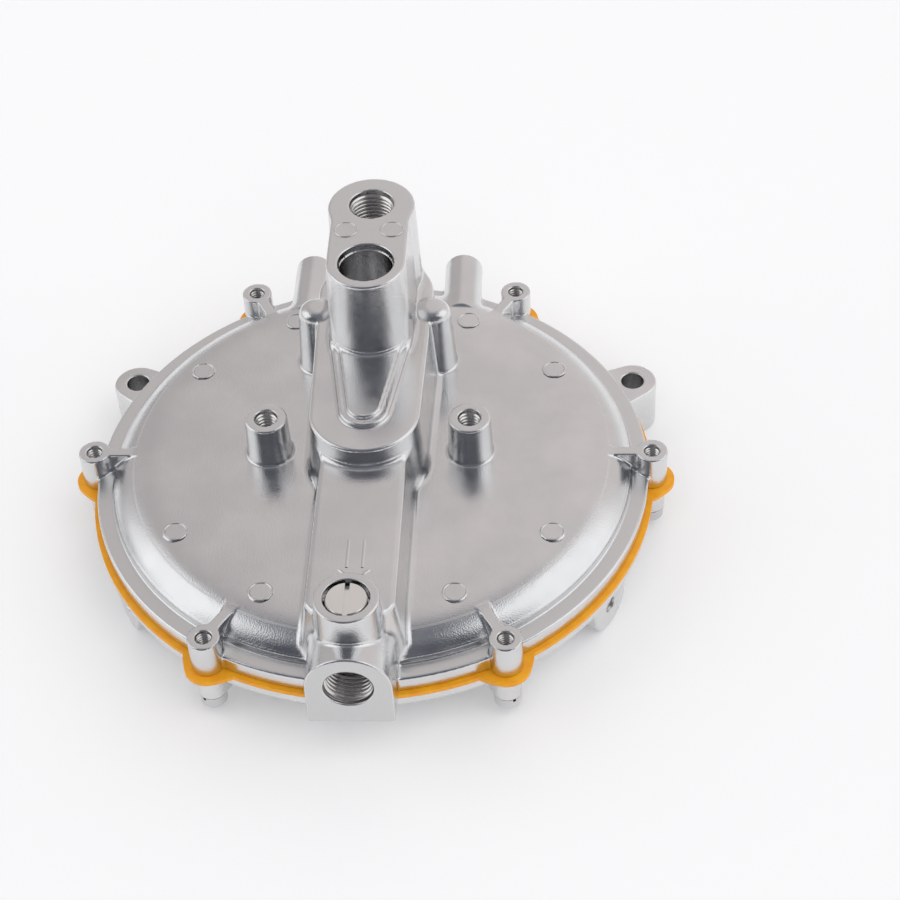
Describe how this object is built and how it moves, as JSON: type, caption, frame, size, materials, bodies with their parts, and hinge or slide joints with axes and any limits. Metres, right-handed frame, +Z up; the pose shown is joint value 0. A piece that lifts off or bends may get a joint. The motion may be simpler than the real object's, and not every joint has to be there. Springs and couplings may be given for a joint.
{
  "type": "low pressure gas regulator",
  "caption": "Round die-cast gas regulator with a clamped yellow diaphragm, lever valve, tall inlet tower, side outlet port, flow screw, primer button and mounting ears.",
  "frame": {"origin": "on the body's axis, on the surface that the cover stands on", "axes": "+Z up along the body's axis, -Y towards the outlet port, +Y towards the inlet tower"},
  "size_m": [0.1624, 0.1627, 0.0726],
  "materials": {
    "cast_housing": "polished die casting",
    "cast_cover": "as-cast satin",
    "yellow_rubber": "smooth coated rubber",
    "black_rubber": "matt",
    "plated_steel": "zinc plated",
    "spring_steel": "bright wire",
    "screw_steel": "plated",
    "flow_screw_steel": "turned",
    "brass": "turned",
    "button_brass": "turned"
  },
  "bodies": {
    "housing": {"upper_housing": "cast_housing", "cover": "cast_cover", "diaphragm": "yellow_rubber", "inlet_screen": "plated_steel", "inlet_nozzle": "brass", "lever_pin": "plated_steel", "pin_screws": "plated_steel", "lever_spring": "spring_steel", "cover_screws": "screw_steel", "spring_washers": "screw_steel", "primer_spring": "spring_steel"},
    "diaphragm_centre": {"upper_plate": "plated_steel", "lower_plate": "plated_steel", "diaphragm_post": "brass", "post_washer": "plated_steel"},
    "lever": {"lever": "plated_steel", "valve_pad": "black_rubber"},
    "spring_screw": {"spring_screw": "plated_steel"},
    "primer": {"primer_button": "button_brass", "primer_clip": "spring_steel"},
    "flow_screw": {"flow_screw": "flow_screw_steel", "flow_screw_seal": "black_rubber"}
  },
  "joints": [
    {"name": "diaphragm_lift", "type": "slide", "parent": "housing", "child": "diaphragm_centre", "axis": [0, 0, 1], "range_m": [0, 0.004], "deforming": ["diaphragm"]},
    {"name": "lever_pivot", "type": "hinge", "parent": "housing", "child": "lever", "pos_m": [0, 0.0346, 0.0271], "axis": [-1, 0, 0], "range_deg": [0, 6.7], "deforming": ["lever_spring"]},
    {"name": "spring_screw_turn", "type": "hinge", "parent": "housing", "child": "spring_screw", "pos_m": [0, 0.025, 0.0475], "axis": [0, 0, 1], "range_deg": [-360, 360]},
    {"name": "primer_press", "type": "slide", "parent": "housing", "child": "primer", "axis": [0, 0, 1], "range_m": [0, 0.0025], "stiffness_N_per_m": 400, "springref_m": -0.002, "deforming": ["primer_spring"]},
    {"name": "flow_screw_turn", "type": "hinge", "parent": "housing", "child": "flow_screw", "pos_m": [0, -0.0696, 0.0479], "axis": [0, 0, 1], "range_deg": [-360, 360]}
  ],
  "couplings": [
    {"joint": "lever_pivot", "follows": "diaphragm_lift", "rad_per_m": 28.902}
  ]
}
